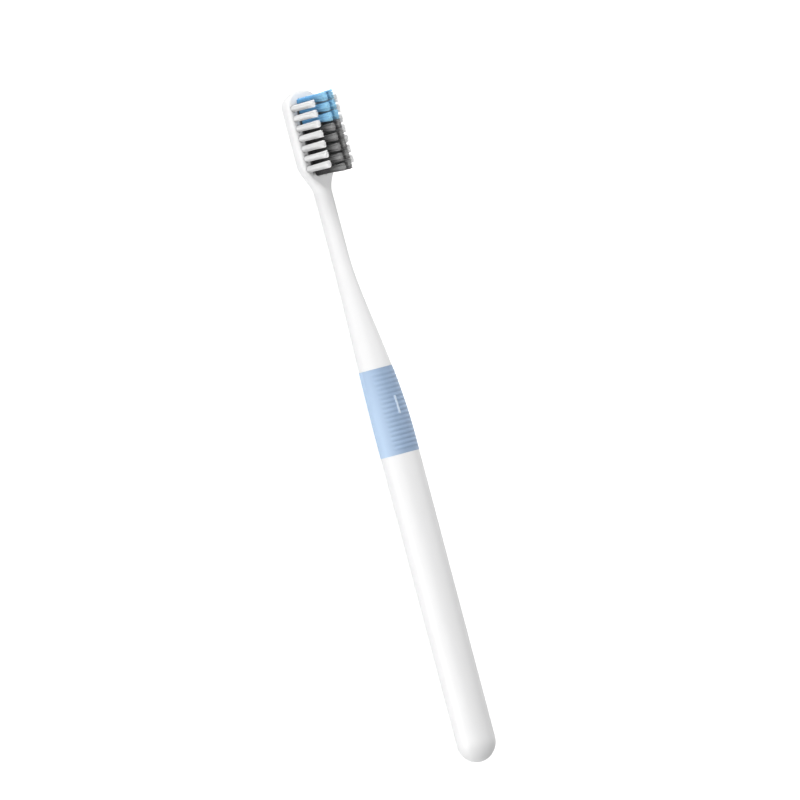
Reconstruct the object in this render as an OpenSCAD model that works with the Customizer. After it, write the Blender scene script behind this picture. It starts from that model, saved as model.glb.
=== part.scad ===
// A manual toothbrush that lies on its back: one moulded handle with head and neck,
// a soft ribbed sleeve moulded round its grip, thirty tufts of bristles, and the
// metal anchors that hold the tufts in their holes.
// X runs from the tip of the head to the butt, Z points out of the bristled face,
// and the origin is on the table below the middle of the brush.

/* [Overall] */
// Length from the tip of the head to the end of the butt
brush_length = 183; // [168:1:205]

/* [Head] */
// Width across the bristled face
head_width = 11.8; // [11.7:0.1:15]
// Thickness of the plate that holds the tufts
head_thickness = 4.45; // [4:0.05:5]
// Distance from the tip to where the head starts to narrow
head_length = 19.4; // [19.2:0.1:26]
// Length over which the head narrows to the neck
head_blend = 8.5; // [8:0.5:14]
// Length of the rounded tip
tip_length = 4; // [3:0.1:6]
// Radius of the edge round the back of the head
back_edge_r = 3; // [0.8:0.1:3.1]
// Radius of the edge round the bristled face
face_edge_r = 1.1; // [0.2:0.05:1.15]

/* [Neck] */
// Diameter of the neck
neck_d = 4.85; // [4.4:0.05:6.5]
// Length of the neck between the head and the flare
neck_length = 17.5; // [10:0.5:24]
// Height of the neck's back above the table, so that the head's flat back carries the brush
neck_rise = 0.35; // [0:0.05:1]

/* [Handle] */
// Width of the handle, seen from the front
handle_width = 11.8; // [10:0.1:15]
// Thickness of the handle, from back to front
handle_thickness = 8.2; // [7:0.1:11]
// Height of the handle's back above the table
handle_rise = 1.75; // [0.35:0.05:3]
// Length over which the neck swells into the handle
flare_length = 50; // [40:1:70]
// Length of the rounded butt
butt_length = 5.6; // [3:0.1:8]

/* [Grip sleeve] */
// Distance from the tip to the sleeve's front edge
grip_start = 76; // [70:0.5:84]
// Length of the sleeve
grip_length = 23.3; // [23:0.1:34]
// Thickness of the sleeve's wall
sleeve_wall = 1.3; // [0.8:0.1:1.8]
// Number of ribs across the front of the sleeve
rib_count = 17; // [3:2:17]
// Distance from one rib to the next
rib_pitch = 1.26; // [1.1:0.01:1.3]
// Length of a rib along the handle at its foot
rib_foot = 0.96; // [0.7:0.01:1.05]
// Length of a rib along the handle at its crest
rib_crest = 0.4; // [0.2:0.01:0.6]
// Height of a rib above the sleeve
rib_height = 0.28; // [0.1:0.01:0.5]
// Width of the ribbed field across the front
rib_field = 9.2; // [6:0.1:9.4]
// Distance over which a rib fades out at each side of the field
rib_fade = 0.9; // [0.4:0.1:2]
// Length of the raised bar on the ribs
bar_length = 5; // [3:0.1:8]
// Width of the bar
bar_width = 0.6; // [0.4:0.05:1.2]
// Height of the bar above the ribs
bar_height = 0.2; // [0.1:0.01:0.5]
// Distance from the middle of the sleeve to the middle of the bar, towards the tip
bar_shift = 1.2; // [0:0.1:3]

/* [Tufts] */
// Number of tufts in each outer row
outer_count = 7; // [3:1:7]
// Number of tufts in each inner row
inner_count = 8; // [4:1:8]
// Number of coloured tufts at the tip end of each inner row
blue_count = 3; // [0:1:8]
// Distance from one tuft to the next along a row
tuft_pitch = 2.74; // [2.5:0.01:2.8]
// Distance between neighbouring rows
row_spacing = 2.74; // [2.5:0.01:2.78]
// Distance from the tip to the first tuft of an inner row
first_tuft = 3; // [2.8:0.05:3.4]
// Free height of the outer tufts
outer_height = 8.4; // [5:0.05:11]
// Free height of the inner tufts
inner_height = 10.4; // [5:0.05:12]
// Diameter of a tuft's hole
hole_d = 1.9; // [1.84:0.01:2]
// Depth of a tuft's hole
hole_depth = 2.8; // [2.3:0.1:2.9]
// Width of one bristle bundle strand across its flats
strand_w = 0.26; // [0.15:0.01:0.26]
// Radius of the ring that the inner strands of a tuft stand on
inner_ring_r = 0.37; // [0.36:0.01:0.38]
// Radius of the ring that the outer strands of a tuft stand on
outer_ring_r = 0.74; // [0.73:0.01:0.75]
// Distance that the outer strands lean outwards up to the tip
strand_lean = 0.07; // [0:0.01:0.15]
// Height by which the middle of a tuft stands above its rim
tuft_crown = 0.15; // [0:0.01:0.4]
// Depth to which the loose strands reach into the packed root
strand_root = 0.6; // [0.3:0.05:1]

/* [Anchors] */
// Width of an anchor plate, wider than the hole so that it bites
anchor_w = 2.3; // [2.1:0.05:2.5]
// Height of an anchor plate
anchor_h = 1.5; // [1:0.1:1.6]
// Thickness of an anchor plate
anchor_t = 0.3; // [0.2:0.01:0.4]

/* [Hidden] */
// Clearance between a tuft's root and its hole, at each side
root_clearance = 0.03;
// Flat rim left between the last hole and the rise to the neck
field_rim = 0.3;
// Overrun of every cut past the face that it opens
overrun = 1;
// Shortest distance allowed between two sections of the handle
section_gap = 0.4;

// Share of a section that its corner rounding may take up, and of its width at the back,
// where a narrow flat keeps the brush from rolling
round_share = 0.97;
back_round_share = 0.85;
// Shares of the height for the back and the face edge where the plate runs thin
back_limit_share = 0.68;
face_limit_share = 0.29;
// Share of the flare's length that bends its growth towards the neck
flare_share = 0.84;

// Angle at which the rounded ends are closed by a small flat
end_angle = 8;
// Steps in a quarter of a section, and in each stretch of the handle
arc_steps = 7;
tip_steps = 7;
blend_steps = 8;
flare_steps = 22;
butt_steps = 6;
bar_facets = 32;
hole_facets = 48;

// Places along the brush, measured from the tip
neck_start = head_length + head_blend;
flare_start = neck_start + neck_length;
flare_end = flare_start + flare_length;
grip_end = grip_start + grip_length;
grip_middle = grip_start + grip_length / 2;
bar_middle = grip_middle - bar_shift;
butt_start = brush_length - butt_length;
field_end = first_tuft + (inner_count - 1) * tuft_pitch + hole_d / 2 + field_rim;

// Heights above the table
face_z = head_thickness;
hole_floor_z = face_z - hole_depth;

// Rows of tufts: name, place across, number, place of the first, free height
ROWS = [
    ["left_outer", -1.5 * row_spacing, outer_count, first_tuft + tuft_pitch / 2, outer_height],
    ["left_inner", -0.5 * row_spacing, inner_count, first_tuft, inner_height],
    ["right_inner", 0.5 * row_spacing, inner_count, first_tuft, inner_height],
    ["right_outer", 1.5 * row_spacing, outer_count, first_tuft + tuft_pitch / 2, outer_height]
];

// Strands of a tuft: radius of their ring and how many stand on it
STRAND_RINGS = [[0, 1], [inner_ring_r, 5], [outer_ring_r, 10]];

function tuft_name(row, i) = str("tuft_", ROWS[row][0], "_", i + 1);
function anchors_name(row) = str("anchors_", ROWS[row][0]);

// Smooth step from 0 to 1, and a blend between two values
function ease(t) = let (c = max(0, min(1, t))) c * c * (3 - 2 * c);
function blend(a, b, t) = a + (b - a) * t;

// Size of a rounded end at a distance from its outermost point, from nearly 0 to 1
function end_round(distance, length) =
    distance >= length ? 1 : sqrt(1 - pow(cos(end_angle) * (1 - distance / length), 2));

// Distances of the sections in a rounded end, from its outermost point inwards
function end_places(length, steps) = [
    for (i = [0:steps - 1])
        let (a = blend(end_angle, 90, i / steps))
        length * (1 - cos(a) / cos(end_angle))
];

// Rise of a rolled edge at a distance from the tip
function edge_rise(s, r) = s >= r ? 0 : r - sqrt(r * r - (r - s) * (r - s));

// How far the head has become the neck, at its sides and at its face
function side_turn(s) = ease((s - head_length) / head_blend);
function face_turn(s) = ease((s - field_end) / (neck_start - field_end));

// How far the neck has become the handle
function growth(s) = ease(pow(max(0, min(1, (s - flare_start) / flare_length)), flare_share));

// Half width, back and front of the moulding at a distance from the tip
function half_width(s) = s < flare_start
    ? blend(head_width * end_round(s, tip_length), neck_d, side_turn(s)) / 2
    : blend(neck_d, handle_width, growth(s)) * end_round(brush_length - s, butt_length) / 2;

function middle_z(s) =
    blend(neck_rise + neck_d / 2, handle_rise + handle_thickness / 2, growth(s));

function half_thickness(s) =
    blend(neck_d, handle_thickness, growth(s)) * end_round(brush_length - s, butt_length) / 2;

function back_z(s) = s < flare_start
    ? blend(edge_rise(s, back_edge_r), neck_rise, side_turn(s))
    : middle_z(s) - half_thickness(s);

function front_z(s) = s < flare_start
    ? blend(face_z - edge_rise(s, face_edge_r), neck_rise + neck_d, face_turn(s))
    : middle_z(s) + half_thickness(s);

// Corner roundings of a section: width and height at the back, then at the front
function corners(s, w, h) =
    let (
        full_w = round_share * w,
        back_w = back_round_share * w,
        full_h = round_share * h / 2
    )
    [
        blend(min(back_edge_r, back_w), back_w, side_turn(s)),
        blend(min(back_edge_r, back_limit_share * h), full_h, side_turn(s)),
        blend(min(face_edge_r, full_w), full_w, face_turn(s)),
        blend(min(face_edge_r, face_limit_share * h), full_h, face_turn(s))
    ];

// How strongly a rib stands at a place across the front
function rib_strength(y) = ease((rib_field / 2 - abs(y)) / rib_fade);

// One section, set in by a wall and raised by a rib: points round it, seen from the butt
function section(s, inset = 0, rib = 0) =
    let (
        w = half_width(s) - inset,
        low = back_z(s) + inset,
        high = front_z(s) - inset,
        r = corners(s, w, high - low)
    )
    [
        for (corner = [0:3])
            for (i = [0:arc_steps])
                let (
                    a = 90 * (corner - 1) + 90 * i / arc_steps,
                    front = corner == 1 || corner == 2,
                    side = corner < 2 ? 1 : -1,
                    ry = front ? r[2] : r[0],
                    rz = front ? r[3] : r[1],
                    y = side * (w - ry) + ry * cos(a),
                    z = (front ? high - rz : low + rz) + rz * sin(a),
                    normal = [cos(a) / ry, sin(a) / rz],
                    lift = front ? rib * rib_strength(y) / norm(normal) : 0
                )
                [s - brush_length / 2, y + lift * normal[0], z + lift * normal[1]]
    ];

RING = 4 * (arc_steps + 1);

// Triangles of a skin over a run of sections that starts at a given point
function skin(first, count) = [
    for (k = [0:count - 2])
        for (i = [0:RING - 1])
            let (
                a = first + k * RING + i,
                b = first + k * RING + (i + 1) % RING
            )
            each [[a, a + RING, b + RING], [a, b + RING, b]]
];

// The same faces turned inside out
function flipped(faces) = [for (f = faces) [for (i = [len(f) - 1:-1:0]) f[i]]];

// Triangles of a flat ring between two sections at one place
function flat_ring(outer, inner) = [
    for (i = [0:RING - 1])
        let (j = (i + 1) % RING)
        each [[outer + i, outer + j, inner + j], [outer + i, inner + j, inner + i]]
];

function flat(lists) = [for (list = lists) each list];

// Sections of the moulding, from the tip to the butt
PLACES = concat(
    end_places(tip_length, tip_steps),
    [tip_length],
    [for (i = [0:blend_steps - 1]) blend(head_length, neck_start, i / blend_steps)],
    [neck_start],
    [for (i = [0:flare_steps]) blend(flare_start, flare_end, i / flare_steps)],
    [for (i = [butt_steps:-1:0]) i == butt_steps
        ? butt_start
        : brush_length - end_places(butt_length, butt_steps)[i]]
);

function between(low, high) = [for (s = PLACES) if (s > low && s < high) s];

GRIP_PLACES = concat(
    [grip_start],
    between(grip_start + section_gap, grip_end - section_gap),
    [grip_end]
);

// The solid body of the handle, with a waist where the sleeve sits
module moulding() {
    rings = concat(
        [for (s = between(-section_gap, grip_start - section_gap)) section(s)],
        [section(grip_start)],
        [for (s = GRIP_PLACES) section(s, sleeve_wall)],
        [section(grip_end)],
        [for (s = between(grip_end + section_gap, brush_length + section_gap)) section(s)]
    );
    last = (len(rings) - 1) * RING;
    polyhedron(
        points = flat(rings),
        faces = concat(
            [[for (i = [0:RING - 1]) i]],
            skin(0, len(rings)),
            [[for (i = [RING - 1:-1:0]) last + i]]
        )
    );
}

// Moves its children to the middle of each tuft of a row, at the floor of the hole
module at_tuft(row, i) {
    x = ROWS[row][3] + i * tuft_pitch - brush_length / 2;
    translate([x, ROWS[row][1], hole_floor_z])
        children();
}

module at_each_tuft(row) {
    for (i = [0:ROWS[row][2] - 1])
        at_tuft(row, i)
            children();
}

// An anchor plate stood on the floor of its hole, along the brush
module anchor(height) {
    translate([-anchor_w / 2, -anchor_t / 2, 0])
        cube([anchor_w, anchor_t, height]);
}

module handle() {
    color("white")
        difference() {
            moulding();
            for (row = [0:3])
                at_each_tuft(row) {
                    cylinder(d = hole_d, h = hole_depth + overrun, $fn = hole_facets);
                    anchor(hole_depth + overrun);
                }
        }
}

// The rubber tube round the grip, ribbed across the front
module ribbed_tube() {
    ribs = [
        for (k = [0:rib_count - 1])
            let (middle = grip_middle + (k - (rib_count - 1) / 2) * rib_pitch)
            each [
                section(middle - rib_foot / 2),
                section(middle - rib_crest / 2, rib = rib_height),
                section(middle + rib_crest / 2, rib = rib_height),
                section(middle + rib_foot / 2)
            ]
    ];
    outside = concat([section(grip_start)], ribs, [section(grip_end)]);
    inside = [for (s = GRIP_PLACES) section(s, sleeve_wall)];
    first_inside = len(outside) * RING;
    last_outside = first_inside - RING;
    last_inside = first_inside + (len(inside) - 1) * RING;
    polyhedron(
        points = flat(concat(outside, inside)),
        faces = concat(
            skin(0, len(outside)),
            flipped(skin(first_inside, len(inside))),
            flat_ring(0, first_inside),
            flipped(flat_ring(last_outside, last_inside))
        )
    );
}

// The bar on the ribs, laid along the slope of the front
module bar() {
    half = bar_length / 2;
    rise = front_z(bar_middle + half) - front_z(bar_middle - half);
    root = sleeve_wall / 2;
    reach = (bar_length - bar_width) / 2;
    translate([bar_middle - brush_length / 2, 0, front_z(bar_middle)])
        rotate([0, -atan2(rise, bar_length), 0])
            translate([0, 0, -root])
                linear_extrude(height = root + rib_height + bar_height)
                    union() {
                        square([2 * reach, bar_width], center = true);
                        for (side = [-1, 1])
                            translate([side * reach, 0])
                                circle(d = bar_width, $fn = bar_facets);
                    }
}

module grip_sleeve() {
    color("lightsteelblue")
        union() {
            ribbed_tube();
            bar();
        }
}

// Feet and tips of the strands of a tuft, as corners of square prisms
function strand_corners(ring_r, angle, height) = [
    for (end = [0, 1])
        for (corner = [0:3])
            let (
                r = ring_r + end * strand_lean * ring_r / outer_ring_r,
                sunk = tuft_crown * pow(ring_r / outer_ring_r, 2),
                turn = angle + 45 + 90 * corner,
                half_diagonal = strand_w / sqrt(2)
            )
            [
                r * cos(angle) + half_diagonal * cos(turn),
                r * sin(angle) + half_diagonal * sin(turn),
                hole_depth + (end == 0 ? -strand_root : height - sunk)
            ]
];

STRAND_FACES = [
    [0, 1, 2], [0, 2, 3],
    [4, 6, 5], [4, 7, 6],
    for (i = [0:3]) each [[i, i + 4, (i + 1) % 4 + 4], [i, (i + 1) % 4 + 4, (i + 1) % 4]]
];

module strands(height) {
    corners = [
        for (ring = STRAND_RINGS)
            for (i = [0:ring[1] - 1])
                strand_corners(ring[0], 360 * i / ring[1], height)
    ];
    polyhedron(
        points = flat(corners),
        faces = [for (k = [0:len(corners) - 1]) for (f = STRAND_FACES) [for (i = f) i + k * 8]]
    );
}

// One tuft: its root, folded round the anchor, and the strands that leave it
module tuft(row, i) {
    at_tuft(row, i)
        union() {
            difference() {
                cylinder(d = hole_d - 2 * root_clearance, h = hole_depth, $fn = hole_facets);
                anchor(anchor_h);
            }
            strands(ROWS[row][4]);
        }
}

module anchors(row) {
    color("goldenrod")
        at_each_tuft(row)
            anchor(anchor_h);
}

// White tufts outside, sky blue ones inside near the tip and dark grey ones behind them
function tuft_colour(row, i) =
    row == 0 || row == 3 ? "whitesmoke" : i < blue_count ? "deepskyblue" : "dimgray";

handle();
grip_sleeve();
for (row = [0:3])
    anchors(row);
for (row = [0:3])
    for (i = [0:ROWS[row][2] - 1])
        color(tuft_colour(row, i)) tuft(row, i);
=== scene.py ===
import math
from collections import namedtuple

import bpy
from mathutils import Matrix, Vector


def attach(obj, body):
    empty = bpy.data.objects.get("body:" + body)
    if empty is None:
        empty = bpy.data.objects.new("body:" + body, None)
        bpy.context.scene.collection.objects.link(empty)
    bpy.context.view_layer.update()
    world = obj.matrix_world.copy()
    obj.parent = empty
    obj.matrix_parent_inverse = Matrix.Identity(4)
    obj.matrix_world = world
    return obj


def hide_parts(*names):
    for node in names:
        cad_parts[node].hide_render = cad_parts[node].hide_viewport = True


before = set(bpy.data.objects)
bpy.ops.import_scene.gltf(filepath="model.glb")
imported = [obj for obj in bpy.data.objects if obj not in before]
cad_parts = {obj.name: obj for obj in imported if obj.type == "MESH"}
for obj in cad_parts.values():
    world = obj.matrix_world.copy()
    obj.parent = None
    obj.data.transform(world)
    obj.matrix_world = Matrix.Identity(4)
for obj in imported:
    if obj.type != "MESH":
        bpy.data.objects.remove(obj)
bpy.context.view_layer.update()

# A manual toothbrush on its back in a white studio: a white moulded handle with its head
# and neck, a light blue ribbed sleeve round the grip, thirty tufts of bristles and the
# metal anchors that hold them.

MM = 0.001

# Moulding, in millimetres, as the solids have it
BRUSH_LENGTH = 183.0
HEAD_WIDTH = 11.8
HEAD_THICKNESS = 4.45
HEAD_LENGTH = 19.4
HEAD_BLEND = 8.5
TIP_LENGTH = 4.0
BACK_EDGE_R = 3.0
FACE_EDGE_R = 1.1
NECK_D = 4.85
NECK_LENGTH = 17.5
NECK_RISE = 0.35
HANDLE_WIDTH = 11.8
HANDLE_THICKNESS = 8.2
HANDLE_RISE = 1.75
FLARE_LENGTH = 50.0
FLARE_POWER = 0.84
BUTT_LENGTH = 5.6
NECK_START = HEAD_LENGTH + HEAD_BLEND
FLARE_START = NECK_START + NECK_LENGTH
BUTT_START = BRUSH_LENGTH - BUTT_LENGTH
# Corner roundings: as shares of half the width and half the height on the neck and handle, of
# half the width at the back, and at most of the height at the head's back and at its face
ROUND_SHARE = 0.97
BACK_ROUND_SHARE = 0.85
BACK_LIMIT_SHARE = 0.68
FACE_LIMIT_SHARE = 0.29

# Sleeve; its ribs are lower and softer than those of the solids, as the photograph shows them
GRIP_START = 76.0
GRIP_LENGTH = 23.3
GRIP_END = GRIP_START + GRIP_LENGTH
GRIP_MIDDLE = GRIP_START + GRIP_LENGTH / 2
SLEEVE_WALL = 1.3
SEAM_R = 0.06
RIB_COUNT = 17
RIB_PITCH = 1.26
RIB_FOOT = 1.24
RIB_CREST = 0.1
RIB_HEIGHT = 0.15
RIB_FIELD = 9.2
RIB_FADE = 0.9
# Painted shade on the ribbed front of the sleeve, darker towards its middle: distance from its sides over
# which it deepens, and how fast
RIB_SHADE_SPREAD = 4.3
RIB_SHADE_POWER = 0.65
BAR_LENGTH = 5.0
BAR_WIDTH = 0.6
BAR_HEIGHT = 0.2
BAR_EDGE_R = 0.12
BAR_SHIFT = 1.2
BAR_MIDDLE = GRIP_MIDDLE - BAR_SHIFT

# Holes for the tufts, and the flat field round them
TUFT_PITCH = 2.74
ROW_SPACING = 2.74
FIRST_TUFT = 3.0
OUTER_COUNT = 7
INNER_COUNT = 8
HOLE_D = 1.9
HOLE_DEPTH = 2.8
SLIT_LENGTH = 2.3
SLIT_WIDTH = 0.3
CUT_OVERRUN = 1.0
FIELD_RIM = 0.3
FIELD_END = FIRST_TUFT + (INNER_COUNT - 1) * TUFT_PITCH + HOLE_D / 2 + FIELD_RIM

# Rows of tufts: place across the head, number, place of the first and free height
OUTER_HEIGHT = 8.4
INNER_HEIGHT = 10.4
OUTER_FIRST = FIRST_TUFT + TUFT_PITCH / 2
Row = namedtuple("Row", "across count first height")
ROWS = {
    "left_outer": Row(-1.5 * ROW_SPACING, OUTER_COUNT, OUTER_FIRST, OUTER_HEIGHT),
    "left_inner": Row(-0.5 * ROW_SPACING, INNER_COUNT, FIRST_TUFT, INNER_HEIGHT),
    "right_inner": Row(0.5 * ROW_SPACING, INNER_COUNT, FIRST_TUFT, INNER_HEIGHT),
    "right_outer": Row(1.5 * ROW_SPACING, OUTER_COUNT, OUTER_FIRST, OUTER_HEIGHT),
}
BLUE_COUNT = 3

# Looks of the rows, along and across the brush: reach of the trimmed end from its middle and
# lean of the tip, in millimetres; share of the height where the tips begin to pale and the painted
# shade of the lower filaments ends; shares of the light lost as painted shade on the side of the
# brush's tip, of its butt and of the other rows; share of the first two losses that the tips escape
Look = namedtuple("Look", "reach lean tip_start losses tip_escape")
LOOKS = {
    "left_outer": Look((0.92, 0.58), (0.1, 0.0), 0.85, (0.0, 0.38, 0.45), 1.0),
    "left_inner": Look((1.02, 0.62), (0.42, 0.2), 0.5, (0.35, 0.4, 0.4), 0.0),
    "right_inner": Look((1.12, 0.62), (0.2, -0.2), 0.75, (0.2, 0.6, 0.4), 0.0),
    "right_outer": Look((1.05, 0.62), (0.1, 0.0), 0.85, (0.0, 0.25, 0.45), 1.0),
}

# Filaments of a tuft: number, radius, spread of the roots in the hole and their height above
# its floor, how far single filaments stray, how unevenly they end, how much lower the
# outermost one ends, how square the trimmed end is, how the filaments curve outwards, and the
# turn from each root to the next
FILAMENTS = 54
FILAMENT_R = 0.098
ROOT_RADIUS = 0.81
ROOT_CLEARANCE = 0.05
STRAY = 0.03
UNEVENNESS = 0.06
CROWN = 0.03
END_POWER = 6
BEND_POWER = 1.4
GOLDEN_ANGLE = math.radians(137.508)
# Places across a tuft, from -1 to 1, between which its sides lose light
SIDE_FADE_START = -0.1
INWARD_FADE = (-0.2, 0.7)

# Fineness of the meshes
ARC_STEPS = 24
END_ANGLE = math.radians(2.0)
TIP_STEPS = 30
HEAD_STEPS = 40
FLARE_STEPS = 70
BUTT_STEPS = 28
SEAM_STEPS = 3
SLEEVE_STEP = 0.09
SLEEVE_BORE_STEPS = 24
BAR_POINTS = 48
BAR_EDGE_STEPS = 5
HOLE_SIDES = 40
CREASE = math.radians(40)
FILAMENT_SIDES = 6
FILAMENT_STEPS = 7
FILAMENT_TIP_STEPS = 2
FILAMENT_TIP_TURN = math.radians(80)

# Random draws of a filament: steps of the seed for its tone and its end, and its largest spin
TONE_STEP = 3
END_STEP = 7
FULL_SPIN = 6.28

# Colours, in linear light
WHITE_PLASTIC = (0.86, 0.86, 0.862, 1)
SLEEVE_BLUE = (0.505, 0.655, 0.85, 1)
# Colour of the sleeve under the full painted shade of its ribbed front
RIB_SHADE_BLUE = (0.295, 0.402, 0.565, 1)
BAR_BLUE = (0.58, 0.68, 0.80, 1)
ANCHOR_BRASS = (0.80, 0.58, 0.27, 1)
FLOOR_PALE = (0.70, 0.70, 0.70, 1)

# Finishes: scales of the clouds and of the grain, depth of the clouds in the colour,
# roughness and its spread, strength of the grain's bump and its distance in metres
Finish = namedtuple("Finish", "clouds grain depth roughness spread bump distance")
PLASTIC_FINISH = Finish(45.0, 2200.0, 0.03, 0.38, 0.08, 0.12, 0.00005)
SLEEVE_FINISH = Finish(90.0, 3200.0, 0.05, 0.55, 0.1, 0.25, 0.00006)
BAR_FINISH = Finish(300.0, 3200.0, 0.05, 0.5, 0.1, 0.2, 0.00006)
ANCHOR_FINISH = Finish(400.0, 4000.0, 0.2, 0.32, 0.2, 0.2, 0.00003)
PLASTIC_IOR = 1.49
RUBBER_IOR = 1.45
NYLON_IOR = 1.53

# Bristles: colour, which on the grey tufts holds painted shade on the lower filaments, colour of the
# tips, spread of the tone between filaments, roughness, how far the tufts part beside the reach of
# their row, and how much of each painted loss of light shows
Bristle = namedtuple("Bristle", "colour tip_colour tone_spread roughness parting loss_shares")
BRISTLES = {
    "white": Bristle((0.95, 0.95, 0.95, 1), (0.98, 0.98, 0.98, 1), 0.1, 0.4, 1.0, (1.0, 1.0, 1.0)),
    "blue": Bristle((0.22, 0.59, 0.96, 1), (0.43, 0.79, 1.0, 1), 0.3, 0.35, 1.12, (0.0, 0.5, 0.4)),
    # The grey's dark colour is partly painted shade on the lower filaments, which the paler tips leave
    "grey": Bristle((0.034, 0.034, 0.035, 1), (0.37, 0.37, 0.37, 1), 0.3, 0.35, 1.0, (1.0, 1.0, 1.0)),
}

# Shade on the head's face between the tufts: where it is full and where it ends, from the
# middle outwards, how far in from the field's ends it is full, and what it leaves
SHADE_FULL_Y = 2.75
SHADE_END_Y = 3.5
SHADE_FADE_X = 1.5
SHADE_FLOOR = 0.1

# Camera: height over the floor's level, roll, distance in metres, lens and aim in millimetres
CAMERA_ELEVATION = math.radians(48.0)
CAMERA_ROLL = math.radians(75.2)
CAMERA_DISTANCE = 4.0
CAMERA_LENS = 684.4
CAMERA_SENSOR = 36.0
CAMERA_CLIPS = (0.05, 20.0)
CAMERA_AIM = (-5.95, 2.68, 8.26)

# Studio: light from all round, glow of the floor where it is seen, and its size in metres
AMBIENT = 0.08
FLOOR_LIFT = 0.85
FLOOR_SIZE = 6.0
# Softboxes for the whole brush and for its head alone: size, distance and target in metres
Kind = namedtuple("Kind", "size distance target")
WIDE = Kind(1.1, 2.0, (0.0, 0.0, 0.0))
NEAR = Kind(0.3, 0.5, (-0.075, 0.0, 0.008))
# Turn of each softbox round the brush from its left side and its height, in degrees, and power
Softbox = namedtuple("Softbox", "turn height power kind")
SOFTBOXES = {
    "tip_side": Softbox(-90, 20, 8.2, WIDE),
    "low_front": Softbox(0, 8, 8.8, WIDE),
    "front": Softbox(0, 45, 3.5, WIDE),
    "high_front": Softbox(0, 65, 7.3, WIDE),
    "low_back": Softbox(180, 5, 3.0, WIDE),
    "head_tip_side": Softbox(-90, 30, 1.22, NEAR),
    "head_front": Softbox(30, 15, 1.08, NEAR),
    "head_back": Softbox(180, 50, 0.59, NEAR),
}


class Net:
    """A node tree under construction: makes nodes, sets their inputs and links them."""

    def __init__(self, tree):
        self.tree = tree

    def feed(self, socket, value):
        if isinstance(value, bpy.types.NodeSocket):
            self.tree.links.new(value, socket)
        else:
            socket.default_value = value

    def node(self, kind, inputs=None, **settings):
        made = self.tree.nodes.new(kind)
        for name, value in settings.items():
            setattr(made, name, value)
        for name, value in (inputs or {}).items():
            self.feed(made.inputs[name], value)
        return made

    def math(self, operation, *values, clamp=False):
        made = self.node("ShaderNodeMath", operation=operation, use_clamp=clamp)
        for socket, value in zip(made.inputs, values):
            self.feed(socket, value)
        return made.outputs["Value"]

    def vector(self, operation, a, b):
        return self.node("ShaderNodeVectorMath", {0: a, 1: b}, operation=operation).outputs["Vector"]

    def scaled(self, vector, factor):
        made = self.node("ShaderNodeVectorMath", {0: vector, "Scale": factor}, operation="SCALE")
        return made.outputs["Vector"]

    def combine(self, **parts):
        return self.node("ShaderNodeCombineXYZ", parts).outputs["Vector"]

    def separate(self, vector):
        return self.node("ShaderNodeSeparateXYZ", {"Vector": vector}).outputs

    def smooth(self, value, start, end, low=0.0, high=1.0):
        """Smooth step of a value from start to end, put out between low and high."""
        made = self.node(
            "ShaderNodeMapRange",
            {"Value": value, "From Min": start, "From Max": end, "To Min": low, "To Max": high},
            interpolation_type="SMOOTHSTEP",
        )
        return made.outputs["Result"]

    def mix(self, factor, a, b):
        return self.node("ShaderNodeMix", {0: factor, 6: a, 7: b}, data_type="RGBA").outputs[2]

    def object_place(self):
        return self.node("ShaderNodeTexCoord").outputs["Object"]

    def fact(self, name):
        """A number that the mesh carries, for a material."""
        return self.node("ShaderNodeAttribute", attribute_name=name).outputs["Fac"]

    def place(self):
        """Coordinates of a mesh's points, for a geometry tree."""
        return self.separate(self.node("GeometryNodeInputPosition").outputs["Position"])

    def stored(self, name, data_type="FLOAT"):
        made = self.node("GeometryNodeInputNamedAttribute", {"Name": name}, data_type=data_type)
        return made.outputs["Attribute"]

    def store(self, geometry, name, value, data_type="FLOAT"):
        made = self.node(
            "GeometryNodeStoreNamedAttribute",
            {"Geometry": geometry, "Name": name, "Value": value},
            data_type=data_type,
            domain="POINT",
        )
        return made.outputs["Geometry"]

    def realize(self, geometry):
        return self.node("GeometryNodeRealizeInstances", {"Geometry": geometry}).outputs["Geometry"]

    def dressed(self, geometry, material):
        """The geometry as one real mesh, in its material."""
        whole = self.realize(geometry)
        made = self.node("GeometryNodeSetMaterial", {"Geometry": whole, "Material": material})
        return made.outputs["Geometry"]


def new_tree(name, kind, inputs, outputs):
    """A node group with named sockets; returns the tree, its net, its input and its output."""
    tree = bpy.data.node_groups.new(name, kind)
    for label, (socket_type, value) in inputs.items():
        socket = tree.interface.new_socket(label, in_out="INPUT", socket_type=socket_type)
        if value is not None:
            socket.default_value = value
    for label, socket_type in outputs.items():
        tree.interface.new_socket(label, in_out="OUTPUT", socket_type=socket_type)
    net = Net(tree)
    given = net.node("NodeGroupInput").outputs
    result = net.node("NodeGroupOutput").inputs
    return tree, net, given, result


# Shape of the moulding; s is the distance from the brush's tip, in millimetres


def ease(t):
    c = min(max(t, 0.0), 1.0)
    return c * c * (3 - 2 * c)


def blend(a, b, t):
    return a + (b - a) * t


def end_round(distance, length):
    """Size of a rounded end at a distance from its outermost point, from nearly 0 to 1."""
    if distance >= length:
        return 1.0
    return math.sqrt(1 - (math.cos(END_ANGLE) * (1 - distance / length)) ** 2)


def end_places(length, steps):
    """Distances of the sections in a rounded end, from its outermost point inwards."""
    angles = [blend(END_ANGLE, math.pi / 2, i / steps) for i in range(steps)]
    return [length * (1 - math.cos(a) / math.cos(END_ANGLE)) for a in angles]


def edge_rise(s, r):
    """Rise of the rolled edge of the tip."""
    return 0.0 if s >= r else r - math.sqrt(r * r - (r - s) ** 2)


def side_turn(s):
    """How far the sides and the back of the head have become those of the neck."""
    return ease((s - HEAD_LENGTH) / HEAD_BLEND)


def face_turn(s):
    """How far the head's face has become the front of the neck."""
    return ease((s - FIELD_END) / (NECK_START - FIELD_END))


def growth(s):
    """How far the neck has become the handle."""
    t = min(max((s - FLARE_START) / FLARE_LENGTH, 0.0), 1.0)
    return ease(t**FLARE_POWER)


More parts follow.
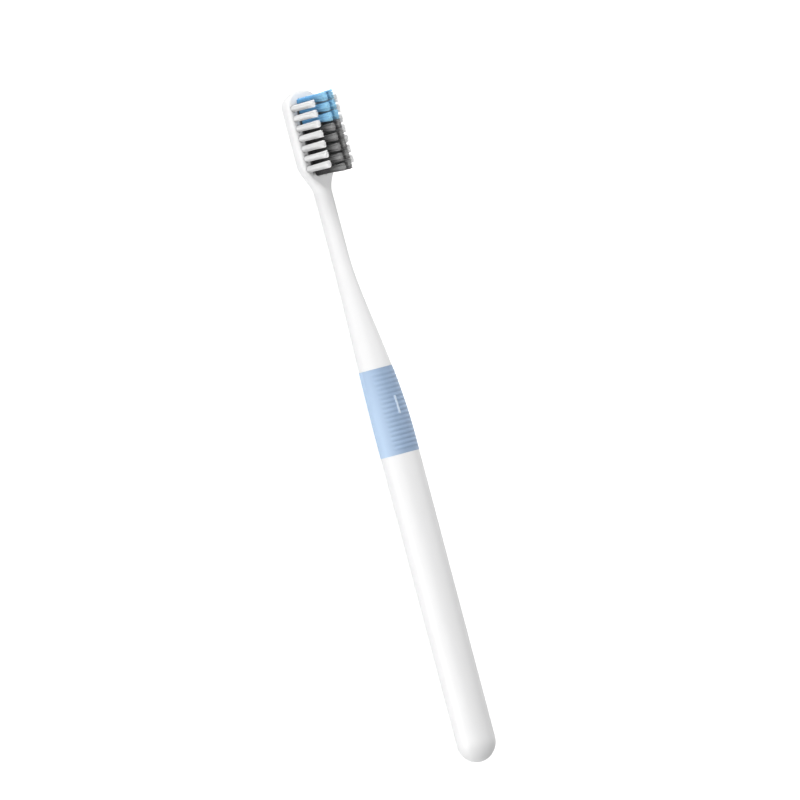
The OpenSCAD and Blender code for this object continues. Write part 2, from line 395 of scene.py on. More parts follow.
def half_width(s):
    if s < FLARE_START:
        return blend(HEAD_WIDTH * end_round(s, TIP_LENGTH), NECK_D, side_turn(s)) / 2
    return blend(NECK_D, HANDLE_WIDTH, growth(s)) * end_round(BRUSH_LENGTH - s, BUTT_LENGTH) / 2


def middle_z(s):
    return blend(NECK_RISE + NECK_D / 2, HANDLE_RISE + HANDLE_THICKNESS / 2, growth(s))


def half_thickness(s):
    return blend(NECK_D, HANDLE_THICKNESS, growth(s)) * end_round(BRUSH_LENGTH - s, BUTT_LENGTH) / 2


def back_z(s):
    if s < FLARE_START:
        return blend(edge_rise(s, BACK_EDGE_R), NECK_RISE, side_turn(s))
    return middle_z(s) - half_thickness(s)


def front_z(s):
    if s < FLARE_START:
        return blend(HEAD_THICKNESS - edge_rise(s, FACE_EDGE_R), NECK_RISE + NECK_D, face_turn(s))
    return middle_z(s) + half_thickness(s)


def corners(s, w, h):
    """Corner roundings of a section: width and height at the back, then at the front."""
    full_w, full_h = ROUND_SHARE * w, ROUND_SHARE * h / 2
    back_w = BACK_ROUND_SHARE * w
    return (
        blend(min(BACK_EDGE_R, back_w), back_w, side_turn(s)),
        blend(min(BACK_EDGE_R, BACK_LIMIT_SHARE * h), full_h, side_turn(s)),
        blend(min(FACE_EDGE_R, full_w), full_w, face_turn(s)),
        blend(min(FACE_EDGE_R, FACE_LIMIT_SHARE * h), full_h, face_turn(s)),
    )


def section(s, inset=0.0):
    """Points round the moulding, set in by a wall, in metres."""
    w = half_width(s) - inset
    low, high = back_z(s) + inset, front_z(s) - inset
    back_w, back_h, front_w, front_h = corners(s, w, high - low)
    ring = []
    for corner in range(4):
        front = corner in (1, 2)
        side = 1 if corner < 2 else -1
        ry, rz = (front_w, front_h) if front else (back_w, back_h)
        for i in range(ARC_STEPS + 1):
            a = math.radians(90 * (corner - 1) + 90 * i / ARC_STEPS)
            y = side * (w - ry) + ry * math.cos(a)
            z = (high - rz if front else low + rz) + rz * math.sin(a)
            ring.append((MM * (s - BRUSH_LENGTH / 2), MM * y, MM * z))
    return ring


def steps_between(start, end, count):
    return [blend(start, end, i / count) for i in range(count)]


def moulding_places():
    """Places of the moulding's sections."""
    return (
        end_places(TIP_LENGTH, TIP_STEPS)
        + [TIP_LENGTH]
        + steps_between(HEAD_LENGTH, NECK_START, HEAD_STEPS)
        + [NECK_START]
        + steps_between(FLARE_START, FLARE_START + FLARE_LENGTH, FLARE_STEPS)
        + [FLARE_START + FLARE_LENGTH, BUTT_START]
        + [BRUSH_LENGTH - s for s in reversed(end_places(BUTT_LENGTH, BUTT_STEPS))]
    )


def seam_edge(s, towards):
    """Sections that round an edge at a seam; towards is 1 for an edge that faces the butt."""
    rings = []
    for i in range(SEAM_STEPS + 1):
        a = math.pi / 2 * i / SEAM_STEPS
        back_off = SEAM_R * (1 - math.sin(a))
        rings.append(section(s - towards * back_off, SEAM_R * (1 - math.cos(a))))
    return rings if towards == 1 else rings[::-1]


def loft(rings, closed_ends):
    """Points and faces of a skin over rings; it has flat ends, or its last ring meets its first."""
    n = len(rings[0])
    points = [p for ring in rings for p in ring]
    starts = [k * n for k in range(len(rings))]
    last = starts[-1]
    strips = list(zip(starts, starts[1:]))
    if not closed_ends:
        strips.append((last, 0))
    faces = [(a + i, a + (i + 1) % n, b + (i + 1) % n, b + i) for a, b in strips for i in range(n)]
    if closed_ends:
        faces.append(tuple(reversed(range(n))))
        faces.append(tuple(range(last, last + n)))
    return points, faces


def new_piece(name, points, faces, material):
    mesh = bpy.data.meshes.new(name)
    mesh.from_pydata(points, [], faces)
    mesh.materials.append(material)
    mesh.validate()
    mesh.shade_smooth()
    piece = bpy.data.objects.new(name, mesh)
    bpy.context.scene.collection.objects.link(piece)
    return piece


def add_tree(piece, tree, values):
    """Puts a geometry tree on a piece, with its named inputs set by their identifiers."""
    modifier = piece.modifiers.new(tree.name, "NODES")
    modifier.node_group = tree
    for item in tree.interface.items_tree:
        if item.item_type == "SOCKET" and item.in_out == "INPUT" and item.name in values:
            modifier[item.identifier] = values[item.name]


def bake(piece):
    """Turns what the modifiers make into the piece's own plain mesh."""
    graph = bpy.context.evaluated_depsgraph_get()
    mesh = bpy.data.meshes.new_from_object(
        piece.evaluated_get(graph), preserve_all_data_layers=True, depsgraph=graph
    )
    mesh.name = piece.name
    piece.modifiers.clear()
    piece.data = mesh


def dress(piece, slot, *nodes):
    """Lets a finished piece ride on the brush, in place of its solids where it has them."""
    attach(piece, "root")
    if nodes:
        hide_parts(*nodes)


# Shader groups that more than one material uses


def grain_group():
    """Moulded surface: faint clouds in the colour, in the roughness and in the height."""
    tree, net, given, result = new_tree(
        "moulded_grain",
        "ShaderNodeTree",
        {
            "Colour": ("NodeSocketColor", (0.8, 0.8, 0.8, 1)),
            "Cloud Size": ("NodeSocketFloat", 60.0),
            "Grain Size": ("NodeSocketFloat", 2500.0),
            "Cloud Depth": ("NodeSocketFloat", 0.03),
            "Roughness": ("NodeSocketFloat", 0.4),
            "Roughness Spread": ("NodeSocketFloat", 0.05),
        },
        {"Colour": "NodeSocketColor", "Roughness": "NodeSocketFloat", "Height": "NodeSocketFloat"},
    )
    place = net.object_place()
    noise = "ShaderNodeTexNoise"
    clouds = net.node(noise, {"Vector": place, "Scale": given["Cloud Size"], "Detail": 3.0})
    grain = net.node(noise, {"Vector": place, "Scale": given["Grain Size"], "Detail": 2.0})
    cloud = net.math("SUBTRACT", clouds.outputs["Fac"], 0.5)
    height = grain.outputs["Fac"]
    shade = net.math("ADD", 1.0, net.math("MULTIPLY", cloud, given["Cloud Depth"]))
    change = net.math("ADD", cloud, net.math("SUBTRACT", height, 0.5))
    rough = net.math("MULTIPLY", change, given["Roughness Spread"])
    net.feed(result["Colour"], net.scaled(given["Colour"], shade))
    net.feed(result["Roughness"], net.math("ADD", given["Roughness"], rough))
    net.feed(result["Height"], height)
    return tree


def filament_group():
    """Bristle colour: each filament a little lighter or darker at random, darkened by painted shade, and
    paler at its tip, partly its own paler end and partly painted shade below it.
    """
    tree, net, given, result = new_tree(
        "filament_tone",
        "ShaderNodeTree",
        {
            "Colour": ("NodeSocketColor", (0.8, 0.8, 0.8, 1)),
            "Tip Colour": ("NodeSocketColor", (0.9, 0.9, 0.9, 1)),
            "Tone Spread": ("NodeSocketFloat", 0.15),
            "Tone": ("NodeSocketFloat", 0.5),
            "Pale": ("NodeSocketFloat", 0.0),
            "Lit": ("NodeSocketFloat", 1.0),
        },
        {"Colour": "NodeSocketColor"},
    )
    colour = net.mix(given["Pale"], given["Colour"], given["Tip Colour"])
    shift = net.math("MULTIPLY", net.math("SUBTRACT", given["Tone"], 0.5), given["Tone Spread"])
    tone = net.math("MULTIPLY", net.math("ADD", 1.0, shift), given["Lit"])
    net.feed(result["Colour"], net.scaled(colour, tone))
    return tree


GRAIN = grain_group()
FILAMENT = filament_group()


# Materials


def new_material(name, **settings):
    """A material with a Principled surface; returns it, its net and its shader."""
    material = bpy.data.materials.new(name)
    material.use_nodes = True
    shader = material.node_tree.nodes["Principled BSDF"]
    for socket, value in settings.items():
        shader.inputs[socket].default_value = value
    return material, Net(material.node_tree), shader


def add_grain(net, shader, colour, finish):
    """Gives a surface its colour and the clouds and grain of its finish."""
    values = {
        "Colour": colour,
        "Cloud Size": finish.clouds,
        "Grain Size": finish.grain,
        "Cloud Depth": finish.depth,
        "Roughness": finish.roughness,
        "Roughness Spread": finish.spread,
    }
    grain = net.node("ShaderNodeGroup", node_tree=GRAIN)
    for name, value in values.items():
        net.feed(grain.inputs[name], value)
    height = grain.outputs["Height"]
    bump = {"Strength": finish.bump, "Distance": finish.distance, "Height": height}
    net.feed(shader.inputs["Base Color"], grain.outputs["Colour"])
    net.feed(shader.inputs["Roughness"], grain.outputs["Roughness"])
    net.feed(shader.inputs["Normal"], net.node("ShaderNodeBump", bump).outputs["Normal"])


def white_plastic():
    """White plastic, dark where the tufts keep the light from the head's face."""
    material, net, shader = new_material("white_moulded_plastic", IOR=PLASTIC_IOR)
    x, y, _ = net.separate(net.object_place())
    start, end = (MM * (s - BRUSH_LENGTH / 2) for s in (FIRST_TUFT, FIELD_END - HOLE_D))
    across = net.smooth(net.math("ABSOLUTE", y), MM * SHADE_FULL_Y, MM * SHADE_END_Y)
    before = net.smooth(x, start, start + MM * SHADE_FADE_X, 1.0, 0.0)
    after = net.smooth(x, end, end + MM * SHADE_FADE_X)
    lit = net.math("MAXIMUM", across, net.math("MAXIMUM", before, after))
    shade = net.math("ADD", SHADE_FLOOR, net.math("MULTIPLY", lit, 1 - SHADE_FLOOR))
    add_grain(net, shader, net.scaled(WHITE_PLASTIC[:3], shade), PLASTIC_FINISH)
    return material


def sleeve_rubber():
    """Light blue rubber, with painted shade that deepens towards the middle of the sleeve's ribbed front."""
    material, net, shader = new_material("light_blue_rubber", IOR=RUBBER_IOR)
    # The field attribute mixes in painted shade towards the middle of the ribbed front
    add_grain(net, shader, net.mix(net.fact("field"), SLEEVE_BLUE, RIB_SHADE_BLUE), SLEEVE_FINISH)
    return material


def bar_rubber():
    material, net, shader = new_material("pale_blue_rubber", IOR=RUBBER_IOR)
    add_grain(net, shader, BAR_BLUE, BAR_FINISH)
    return material


def bristle_plastic(kind):
    """Bristle plastic; the tufts carry the facts that vary from filament to filament."""
    look = BRISTLES[kind]
    material, net, shader = new_material(kind + "_bristles", IOR=NYLON_IOR, Roughness=look.roughness)
    group = net.node("ShaderNodeGroup", node_tree=FILAMENT)
    values = {
        "Colour": look.colour,
        "Tip Colour": look.tip_colour,
        "Tone Spread": look.tone_spread,
        "Tone": net.fact("tone"),
        "Pale": net.fact("pale"),
        "Lit": net.fact("lit"),
    }
    for name, value in values.items():
        net.feed(group.inputs[name], value)
    net.feed(shader.inputs["Base Color"], group.outputs["Colour"])
    return material


def anchor_metal():
    material, net, shader = new_material("anchor_brass", Metallic=1.0)
    add_grain(net, shader, ANCHOR_BRASS, ANCHOR_FINISH)
    return material


# Geometry trees


def cutter(net, given, height):
    """One round hole and the slit for its anchor, as a solid to cut with."""
    bore = net.node(
        "GeometryNodeMeshCylinder",
        {"Vertices": HOLE_SIDES, "Radius": given["Hole Radius"], "Depth": height},
    )
    size = net.combine(X=given["Slit Length"], Y=given["Slit Width"], Z=height)
    slit = net.node("GeometryNodeMeshCube", {"Size": size})
    both = net.node("GeometryNodeMeshBoolean", operation="UNION", solver="EXACT")
    net.feed(both.inputs["Mesh 2"], bore.outputs["Mesh"])
    net.feed(both.inputs["Mesh 2"], slit.outputs["Mesh"])
    middle = net.combine(Z=net.math("MULTIPLY", height, 0.5))
    raised = {"Geometry": both.outputs["Mesh"], "Translation": middle}
    return net.node("GeometryNodeTransform", raised).outputs["Geometry"]


def drilled_tree():
    """Cuts a round hole with a slit for its anchor at each given place."""
    tree, net, given, result = new_tree(
        "drilled_holes",
        "GeometryNodeTree",
        {
            "Geometry": ("NodeSocketGeometry", None),
            "Places": ("NodeSocketObject", None),
            "Hole Radius": ("NodeSocketFloat", 0.001),
            "Hole Depth": ("NodeSocketFloat", 0.003),
            "Slit Length": ("NodeSocketFloat", 0.002),
            "Slit Width": ("NodeSocketFloat", 0.0003),
            "Overrun": ("NodeSocketFloat", 0.001),
            "Material": ("NodeSocketMaterial", None),
        },
        {"Geometry": "NodeSocketGeometry"},
    )
    places = net.node("GeometryNodeObjectInfo", {"Object": given["Places"]}).outputs["Geometry"]
    height = net.math("ADD", given["Hole Depth"], given["Overrun"])
    cutters = net.node(
        "GeometryNodeInstanceOnPoints", {"Points": places, "Instance": cutter(net, given, height)}
    )
    cut = net.node("GeometryNodeMeshBoolean", operation="DIFFERENCE", solver="EXACT")
    net.feed(cut.inputs["Mesh 1"], given["Geometry"])
    net.feed(cut.inputs["Mesh 2"], net.realize(cutters.outputs["Instances"]))
    angle = net.node("GeometryNodeInputMeshEdgeAngle").outputs["Unsigned Angle"]
    sharp = net.node("FunctionNodeCompare", {0: angle, 1: CREASE}, operation="GREATER_THAN").outputs[0]
    creased = net.node(
        "GeometryNodeSetShadeSmooth",
        {"Geometry": cut.outputs["Mesh"], "Selection": sharp, "Shade Smooth": False},
        domain="EDGE",
    )
    net.feed(result["Geometry"], net.dressed(creased.outputs["Geometry"], given["Material"]))
    return tree


def ribbed_tree():
    """Raises ribs across the front of a sleeve, and notes where painted shade darkens that front."""
    tree, net, given, result = new_tree(
        "ribbed_front",
        "GeometryNodeTree",
        {
            "Geometry": ("NodeSocketGeometry", None),
            "Middle": ("NodeSocketFloat", 0.0),
            "Rib Count": ("NodeSocketInt", 17),
            "Rib Pitch": ("NodeSocketFloat", 0.00126),
            "Rib Foot": ("NodeSocketFloat", 0.00124),
            "Rib Crest": ("NodeSocketFloat", 0.0001),
            "Rib Height": ("NodeSocketFloat", 0.00015),
            "Field Width": ("NodeSocketFloat", 0.009),
            "Fade": ("NodeSocketFloat", 0.001),
            "Half Width": ("NodeSocketFloat", 0.0055),
            "Deepening": ("NodeSocketFloat", 0.004),
            "Deepening Power": ("NodeSocketFloat", 0.6),
            "Material": ("NodeSocketMaterial", None),
        },
        {"Geometry": "NodeSocketGeometry"},
    )
    x, y, _ = net.place()
    off_middle = net.math("ABSOLUTE", y)
    normal = net.node("GeometryNodeInputNormal").outputs["Normal"]
    forward = net.math("GREATER_THAN", net.separate(normal)["Z"], 0.0)
    front = net.math("MULTIPLY", forward, net.stored("outside"))

    pitches = net.math("DIVIDE", net.math("SUBTRACT", x, given["Middle"]), given["Rib Pitch"])
    off_rib = net.math("ABSOLUTE", net.math("SUBTRACT", pitches, net.math("ROUND", pitches)))
    half_foot = net.math("MULTIPLY", given["Rib Foot"], 0.5)
    half_crest = net.math("MULTIPLY", given["Rib Crest"], 0.5)
    profile = net.smooth(net.math("MULTIPLY", off_rib, given["Rib Pitch"]), half_foot, half_crest)
    reach = net.math("MULTIPLY", given["Rib Count"], 0.5)
    ribbed = net.math("LESS_THAN", net.math("ABSOLUTE", pitches), reach)
    half_field = net.math("MULTIPLY", given["Field Width"], 0.5)
    fade = net.smooth(net.math("SUBTRACT", half_field, off_middle), 0.0, given["Fade"])
    faded = net.math("MULTIPLY", profile, fade)
    strength = net.math("MULTIPLY", faded, net.math("MULTIPLY", ribbed, front))
    lift = net.scaled(normal, net.math("MULTIPLY", strength, given["Rib Height"]))

    # Painted shade of the ribbed front, stored as field: none at the sides, full towards the middle
    inwards = net.math("SUBTRACT", given["Half Width"], off_middle)
    share = net.math("DIVIDE", inwards, given["Deepening"], clamp=True)
    field = net.math("MULTIPLY", net.math("POWER", share, given["Deepening Power"]), front)
    noted = net.store(given["Geometry"], "field", field)
    raised = net.node("GeometryNodeSetPosition", {"Geometry": noted, "Offset": lift})
    net.feed(result["Geometry"], net.dressed(raised.outputs["Geometry"], given["Material"]))
    return tree


def random_number(net, seed, low=0.0, high=1.0):
    made = net.node("FunctionNodeRandomValue", {2: low, 3: high, "Seed": seed}, data_type="FLOAT")
    return made.outputs[1]


def random_vector(net, seed, low, high):
    made = net.node("FunctionNodeRandomValue", {0: low, 1: high, "Seed": seed}, data_type="FLOAT_VECTOR")
    return made.outputs[0]


def filament_mesh(net, given):
    """One filament from its root to a rounded tip."""
    radius = given["Filament Radius"]
    length = net.math("ADD", given["Height"], given["Sink"])
    rod = net.node(
        "GeometryNodeMeshCylinder",
        {
            "Vertices": FILAMENT_SIDES,
            "Side Segments": FILAMENT_STEPS,
            "Radius": radius,
            "Depth": length,
        },
        fill_type="TRIANGLE_FAN",
    )
    x, y, z = net.place()
    t = net.math("ADD", net.math("DIVIDE", z, length), 0.5)
    body_share = (FILAMENT_STEPS - FILAMENT_TIP_STEPS) / FILAMENT_STEPS
    body = net.math("DIVIDE", t, body_share, clamp=True)
    tip = net.math("DIVIDE", net.math("SUBTRACT", t, body_share), 1 - body_share, clamp=True)
    angle = net.math("MULTIPLY", tip, FILAMENT_TIP_TURN)
    straight = net.math("MULTIPLY", body, net.math("SUBTRACT", length, radius))
    rounded = net.math("ADD", straight, net.math("MULTIPLY", net.math("SINE", angle), radius))
    narrow = net.math("COSINE", angle)
    moved = net.combine(
        X=net.math("MULTIPLY", x, narrow),
        Y=net.math("MULTIPLY", y, narrow),
        Z=net.math("SUBTRACT", rounded, given["Sink"]),
    )
    shaped = net.node("GeometryNodeSetPosition", {"Geometry": rod.outputs["Mesh"], "Position": moved})
    smooth = net.node("GeometryNodeSetShadeSmooth", {"Geometry": shaped.outputs["Geometry"]})
    return smooth.outputs["Geometry"]


def filament_roots(net, given):
    """Points of a tuft's roots, with what each filament is to remember."""
    seed = given["Seed"]
    index = net.node("GeometryNodeInputIndex").outputs["Index"]
    share = net.math("DIVIDE", net.math("ADD", index, 0.5), given["Filaments"])
    rank = net.math("SQRT", share)
    turn = net.math("ADD", net.math("MULTIPLY", index, GOLDEN_ANGLE), seed)
    side_x, side_y = net.math("COSINE", turn), net.math("SINE", turn)
    direction = net.combine(X=side_x, Y=side_y)
    root = net.scaled(direction, net.math("MULTIPLY", rank, given["Root Radius"]))

    powers = [net.math("POWER", net.math("ABSOLUTE", side), END_POWER) for side in (side_x, side_y)]
    squared = net.math("POWER", net.math("ADD", *powers), -1 / END_POWER)
    outward = net.scaled(direction, net.math("MULTIPLY", rank, squared))
    end = net.vector("ADD", net.vector("MULTIPLY", outward, given["End Reach"]), given["Lean"])
    stray = net.scaled(random_vector(net, seed, (-1, -1, 0), (1, 1, 0)), given["Stray"])
    lean = net.vector("ADD", net.vector("SUBTRACT", end, root), stray)

    chance = random_number(net, net.math("ADD", seed, END_STEP))
    uneven = net.math("MULTIPLY", chance, given["Unevenness"])
    drop = net.math("ADD", net.math("MULTIPLY", share, given["Crown"]), uneven)

    along, across, _ = net.separate(outward)
    on_tip_side = net.smooth(along, SIDE_FADE_START, -1.0)
    on_butt_side = net.smooth(along, SIDE_FADE_START, 1.0)
    facing = net.smooth(net.math("MULTIPLY", across, given["Inward"]), *INWARD_FADE)
    tip_side = net.math("MULTIPLY", on_tip_side, given["Tip Side Shade"])
    butt_side = net.math("MULTIPLY", on_butt_side, given["Butt Side Shade"])

    points = net.node("GeometryNodePoints", {"Count": given["Filaments"], "Position": root})
    kept = net.store(points.outputs["Points"], "lean", lean, "FLOAT_VECTOR")
    kept = net.store(kept, "drop", drop)
    kept = net.store(kept, "tone", random_number(net, net.math("ADD", seed, TONE_STEP)))
    kept = net.store(kept, "lost", net.math("ADD", tip_side, butt_side))
    return net.store(kept, "hidden", net.math("MULTIPLY", facing, given["Inward Shade"]))


def tuft_tree():
    """A tuft: filaments that leave a round hole and end in a nearly rectangular, flat trim."""
    tree, net, given, result = new_tree(
        "bristle_tuft",
        "GeometryNodeTree",
        {
            "Geometry": ("NodeSocketGeometry", None),
            "Filaments": ("NodeSocketInt", 50),
            "Root Radius": ("NodeSocketFloat", 0.0008),
            "Filament Radius": ("NodeSocketFloat", 0.0001),
            "Height": ("NodeSocketFloat", 0.008),
            "Sink": ("NodeSocketFloat", 0.002),
            "End Reach": ("NodeSocketVector", (0.0009, 0.0006, 0)),
            "Lean": ("NodeSocketVector", (0, 0, 0)),
            "Stray": ("NodeSocketFloat", 0.00005),
            "Unevenness": ("NodeSocketFloat", 0.0001),
            "Crown": ("NodeSocketFloat", 0.0001),
            "Tip Start": ("NodeSocketFloat", 0.8),
            "Tip Side Shade": ("NodeSocketFloat", 0.0),
            "Butt Side Shade": ("NodeSocketFloat", 0.3),
            "Inward Shade": ("NodeSocketFloat", 0.5),
            "Inward": ("NodeSocketFloat", 1.0),
            "Tip Escape": ("NodeSocketFloat", 0.0),
            "Seed": ("NodeSocketInt", 0),
            "Material": ("NodeSocketMaterial", None),
        },
        {"Geometry": "NodeSocketGeometry"},
    )
    spin = net.combine(Z=random_number(net, given["Seed"], 0.0, FULL_SPIN))
    placed = net.node(
        "GeometryNodeInstanceOnPoints",
        {
            "Points": filament_roots(net, given),
            "Instance": filament_mesh(net, given),
            "Rotation": net.node("FunctionNodeEulerToRotation", {"Euler": spin}).outputs["Rotation"],
        },
    )
    solid = net.realize(placed.outputs["Instances"])

    along = net.math("DIVIDE", net.place()["Z"], given["Height"], clamp=True)
    leaned = net.scaled(net.stored("lean", "FLOAT_VECTOR"), net.math("POWER", along, BEND_POWER))
    sunk = net.math("MULTIPLY", net.math("MULTIPLY", along, net.stored("drop")), -1.0)
    offset = net.vector("ADD", leaned, net.combine(Z=sunk))

    # Painted shade: below the tip start the filaments keep their darker colour and above it they pale; their
    # sides also lose light as painted shade
    pale = net.smooth(along, given["Tip Start"], 1.0)
    shut = net.math("MULTIPLY", net.stored("hidden"), net.math("SUBTRACT", 1.0, pale))
    caught = net.math("SUBTRACT", 1.0, net.math("MULTIPLY", pale, given["Tip Escape"]))
    lost = net.math("MULTIPLY", net.stored("lost"), caught)
    lit = net.math("MULTIPLY", net.math("SUBTRACT", 1.0, lost), net.math("SUBTRACT", 1.0, shut))
    noted = net.store(net.store(solid, "pale", pale), "lit", lit)
    bent = net.node("GeometryNodeSetPosition", {"Geometry": noted, "Offset": offset})
    net.feed(result["Geometry"], net.dressed(bent.outputs["Geometry"], given["Material"]))
    return tree


# Pieces


def tuft_places(row):
    """Places of a row's tufts along and across the brush, in millimetres."""
    start = row.first - BRUSH_LENGTH / 2
    return [(start + i * TUFT_PITCH, row.across) for i in range(row.count)]


def moulding_rings():
    """Sections of the moulding from tip to butt, with its waist under the sleeve."""
    places = moulding_places()
    rings = [section(s) for s in places if s < GRIP_START - SEAM_R]
    rings += seam_edge(GRIP_START, 1)
    rings.append(section(GRIP_START, SLEEVE_WALL))
    rings += [section(s, SLEEVE_WALL) for s in places if GRIP_START < s < GRIP_END]
    rings.append(section(GRIP_END, SLEEVE_WALL))
    rings += seam_edge(GRIP_END, -1)
    return rings + [section(s) for s in places if s > GRIP_END + SEAM_R]


def make_hole_marks():
    """An object with a point at the bottom of each hole."""
    floor_z = HEAD_THICKNESS - HOLE_DEPTH
    places = [(MM * x, MM * y, MM * floor_z) for row in ROWS.values() for x, y in tuft_places(row)]
    mesh = bpy.data.meshes.new("hole_marks")
    mesh.from_pydata(places, [], [])
    marks = bpy.data.objects.new("hole_marks", mesh)
    bpy.context.scene.collection.objects.link(marks)
    return marks


def make_handle(material):
    """The moulding with its drilled head."""
    handle = new_piece("handle_moulding", *loft(moulding_rings(), True), material)
    marks = make_hole_marks()
    values = {
        "Places": marks,
        "Hole Radius": MM * HOLE_D / 2,
        "Hole Depth": MM * HOLE_DEPTH,
        "Slit Length": MM * SLIT_LENGTH,
        "Slit Width": MM * SLIT_WIDTH,
        "Overrun": MM * CUT_OVERRUN,
        "Material": material,
    }
    add_tree(handle, drilled_tree(), values)
    flat = handle.modifiers.new("flat_faces", "WEIGHTED_NORMAL")
    flat.keep_sharp = True
    bake(handle)
    bpy.data.objects.remove(marks)
    dress(handle, "white_plastic", "handle")


def make_sleeve(material):
    """The rubber tube: a fine outer skin with ribs across its front, and a plain bore."""
    count = round((GRIP_LENGTH - 2 * SEAM_R) / SLEEVE_STEP)
    start, end = GRIP_START + SEAM_R, GRIP_END - SEAM_R
    outer = seam_edge(GRIP_START, -1)[:-1]
    outer += [section(blend(start, end, i / count)) for i in range(count + 1)]
    outer += seam_edge(GRIP_END, 1)[1:]
    shares = [i / SLEEVE_BORE_STEPS for i in range(SLEEVE_BORE_STEPS + 1)]
    bore = [section(blend(GRIP_END, GRIP_START, share), SLEEVE_WALL) for share in shares]
    points, faces = loft(outer + bore, False)
    sleeve = new_piece("sleeve", points, faces, material)
    outside = sleeve.data.attributes.new("outside", "FLOAT", "POINT")
    skin_points = len(outer) * len(outer[0])
    outside.data.foreach_set("value", [float(i < skin_points) for i in range(len(points))])
    values = {
        "Middle": MM * (GRIP_MIDDLE - BRUSH_LENGTH / 2),
        "Rib Count": RIB_COUNT,
        "Rib Pitch": MM * RIB_PITCH,
        "Rib Foot": MM * RIB_FOOT,
        "Rib Crest": MM * RIB_CREST,
        "Rib Height": MM * RIB_HEIGHT,
        "Field Width": MM * RIB_FIELD,
        "Fade": MM * RIB_FADE,
        "Half Width": MM * half_width(GRIP_MIDDLE),
        "Deepening": MM * RIB_SHADE_SPREAD,
        "Deepening Power": RIB_SHADE_POWER,
        "Material": material,
    }
    add_tree(sleeve, ribbed_tree(), values)
    bake(sleeve)
    dress(sleeve, "light_blue_rubber", "grip_sleeve")


def make_bar(material):
    """The raised bar on the ribs, with round ends and a rolled edge; it follows the sleeve."""
    half, reach = BAR_WIDTH / 2, (BAR_LENGTH - BAR_WIDTH) / 2
    top = RIB_HEIGHT + BAR_HEIGHT
    levels = [(half, -SLEEVE_WALL / 2)]
    for i in range(BAR_EDGE_STEPS + 1):
        a = math.pi / 2 * i / BAR_EDGE_STEPS
        levels.append((half - BAR_EDGE_R * (1 - math.cos(a)), top - BAR_EDGE_R * (1 - math.sin(a))))
    rings = []
    for radius, lift in levels:
        ring = []
        for i in range(BAR_POINTS):
            a = 2 * math.pi * (i + 0.5) / BAR_POINTS
            x = math.copysign(reach, math.cos(a)) + radius * math.cos(a)
            place = (BAR_MIDDLE - BRUSH_LENGTH / 2 + x, radius * math.sin(a), front_z(BAR_MIDDLE + x) + lift)
            ring.append(tuple(MM * value for value in place))
        rings.append(ring)
    bar = new_piece("sleeve_bar", *loft(rings, True), material)
    dress(bar, "light_blue_rubber")


def bristle_kind(row_name, i):
    if "outer" in row_name:
        return "white"
    return "blue" if i < BLUE_COUNT else "grey"


def make_tuft(name, tree, row, look, kind, side, seed, material):
    """Filaments of one tuft round its own middle; side is the sign of its place across."""
    bristle = BRISTLES[kind]
    tip_side, butt_side, inward = (a * b for a, b in zip(look.losses, bristle.loss_shares))
    tuft = new_piece(name, [], [], material)
    values = {
        "Filaments": FILAMENTS,
        "Root Radius": MM * ROOT_RADIUS,
        "Filament Radius": MM * FILAMENT_R,
        "Height": MM * row.height,
        "Sink": MM * (HOLE_DEPTH - ROOT_CLEARANCE),
        "End Reach": (MM * look.reach[0] * bristle.parting, MM * look.reach[1], 0.0),
        "Lean": (MM * look.lean[0], MM * look.lean[1], 0.0),
        "Stray": MM * STRAY,
        "Unevenness": MM * UNEVENNESS,
        "Crown": MM * CROWN,
        "Tip Start": look.tip_start,
        "Tip Side Shade": tip_side,
        "Butt Side Shade": butt_side,
        "Inward Shade": inward,
        "Inward": -side,
        "Tip Escape": look.tip_escape,
        "Seed": seed,
        "Material": material,
    }
    add_tree(tuft, tree, values)
    bake(tuft)
    return tuft


def make_tufts():
    """One piece of filaments for each tuft, in place of its solid."""
    tree = tuft_tree()
    materials = {kind: bristle_plastic(kind) for kind in BRISTLES}
    seed = 0
    for name, row in ROWS.items():
        side = math.copysign(1.0, row.across)
        for i, (x, y) in enumerate(tuft_places(row)):
            seed += 1
            kind = bristle_kind(name, i)
            piece_name = f"bristles_{name}_{i + 1}"
            tuft = make_tuft(piece_name, tree, row, LOOKS[name], kind, side, seed, materials[kind])
            tuft.data.transform(Matrix.Translation((MM * x, MM * y, MM * HEAD_THICKNESS)))
            dress(tuft, kind + "_bristles", f"tuft_{name}_{i + 1}")


def finish_anchors(material):
    for name in ROWS:
        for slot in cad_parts["anchors_" + name].material_slots:
            slot.material = material


# Studio


def seen_directly(net):
    """1 for rays that show the background itself, 0 for rays that light the brush."""
    path = net.node("ShaderNodeLightPath").outputs
    reflected = net.math("MAXIMUM", path["Is Glossy Ray"], path["Is Transmission Ray"])
    return net.math("MAXIMUM", path["Is Camera Ray"], reflected)


def make_floor():
    """A pale floor that keeps the brush's shadow and looks white where it is seen."""
    half = FLOOR_SIZE / 2
    points = [(-half, -half, 0), (half, -half, 0), (half, half, 0), (-half, half, 0)]
    material = bpy.data.materials.new("studio_floor")
    material.use_nodes = True
    net = Net(material.node_tree)
    material.node_tree.nodes.clear()
    plain = net.node("ShaderNodeBsdfDiffuse", {"Color": FLOOR_PALE}).outputs[0]
    lift = net.math("MULTIPLY", seen_directly(net), FLOOR_LIFT)
    glow = net.node("ShaderNodeEmission", {"Strength": lift}).outputs[0]
    both = net.node("ShaderNodeAddShader", {0: plain, 1: glow}).outputs[0]
    net.node("ShaderNodeOutputMaterial", {"Surface": both})
    new_piece("floor", points, [(0, 1, 2, 3)], material)


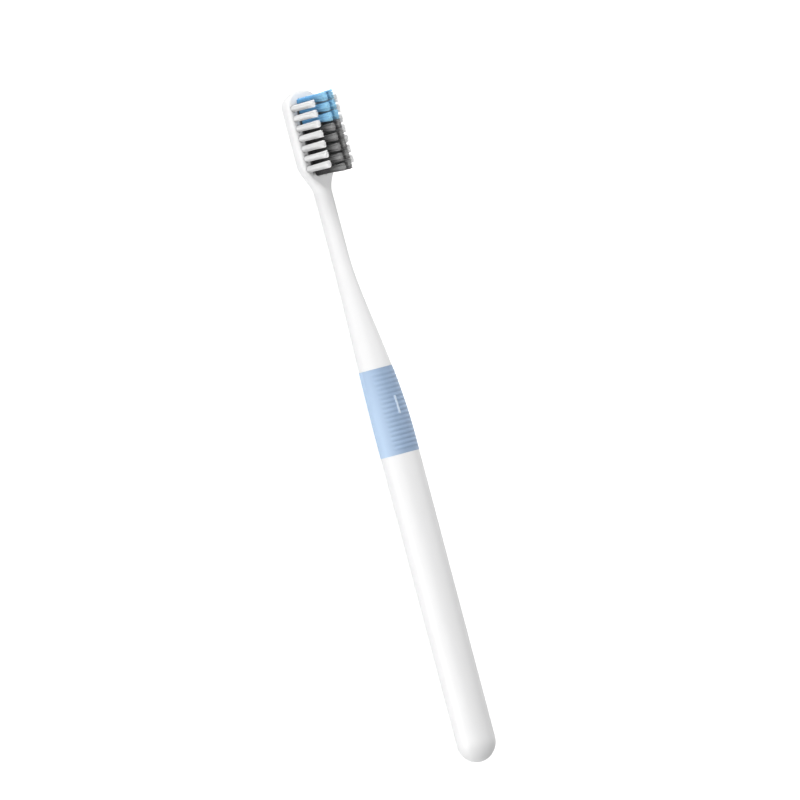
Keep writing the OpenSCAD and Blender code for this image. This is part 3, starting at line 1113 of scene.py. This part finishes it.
def make_world():
    """Air that looks white where it is seen and gives little light of its own."""
    world = bpy.data.worlds.new("studio_air")
    world.use_nodes = True
    bpy.context.scene.world = world
    net = Net(world.node_tree)
    shown = net.math("MULTIPLY", seen_directly(net), 1 - AMBIENT)
    background = world.node_tree.nodes["Background"]
    background.inputs["Color"].default_value = (1, 1, 1, 1)
    net.feed(background.inputs["Strength"], net.math("ADD", shown, AMBIENT))


def make_softbox(name, softbox):
    """A square softbox that faces its target."""
    kind = softbox.kind
    light = bpy.data.lights.new(name, "AREA")
    light.energy = softbox.power
    light.shape = "SQUARE"
    light.size = kind.size
    lamp = bpy.data.objects.new(name, light)
    bpy.context.scene.collection.objects.link(lamp)
    turn, height = math.radians(softbox.turn), math.radians(softbox.height)
    level = math.cos(height)
    towards = Vector((math.sin(turn) * level, -math.cos(turn) * level, math.sin(height)))
    lamp.location = Vector(kind.target) + towards * kind.distance
    lamp.rotation_euler = (-towards).to_track_quat("-Z", "Y").to_euler()


def make_camera():
    back = Vector((0, -math.cos(CAMERA_ELEVATION), math.sin(CAMERA_ELEVATION)))
    level_up = Vector((0, math.sin(CAMERA_ELEVATION), math.cos(CAMERA_ELEVATION)))
    level_right = Vector((1, 0, 0))
    right = level_right * math.cos(CAMERA_ROLL) + level_up * math.sin(CAMERA_ROLL)
    up = level_up * math.cos(CAMERA_ROLL) - level_right * math.sin(CAMERA_ROLL)
    data = bpy.data.cameras.new("camera")
    data.lens = CAMERA_LENS
    data.sensor_width = CAMERA_SENSOR
    data.clip_start, data.clip_end = CAMERA_CLIPS
    camera = bpy.data.objects.new("camera", data)
    bpy.context.scene.collection.objects.link(camera)
    turn = Matrix((right, up, back)).transposed().to_4x4()
    place = Vector(CAMERA_AIM) * MM + back * CAMERA_DISTANCE
    camera.matrix_world = Matrix.Translation(place) @ turn
    bpy.context.scene.camera = camera


make_handle(white_plastic())
make_sleeve(sleeve_rubber())
make_bar(bar_rubber())
make_tufts()
finish_anchors(anchor_metal())
make_floor()
make_world()
for softbox_name, softbox_place in SOFTBOXES.items():
    make_softbox(softbox_name, softbox_place)
make_camera()
bpy.context.scene.view_settings.view_transform = "Standard"
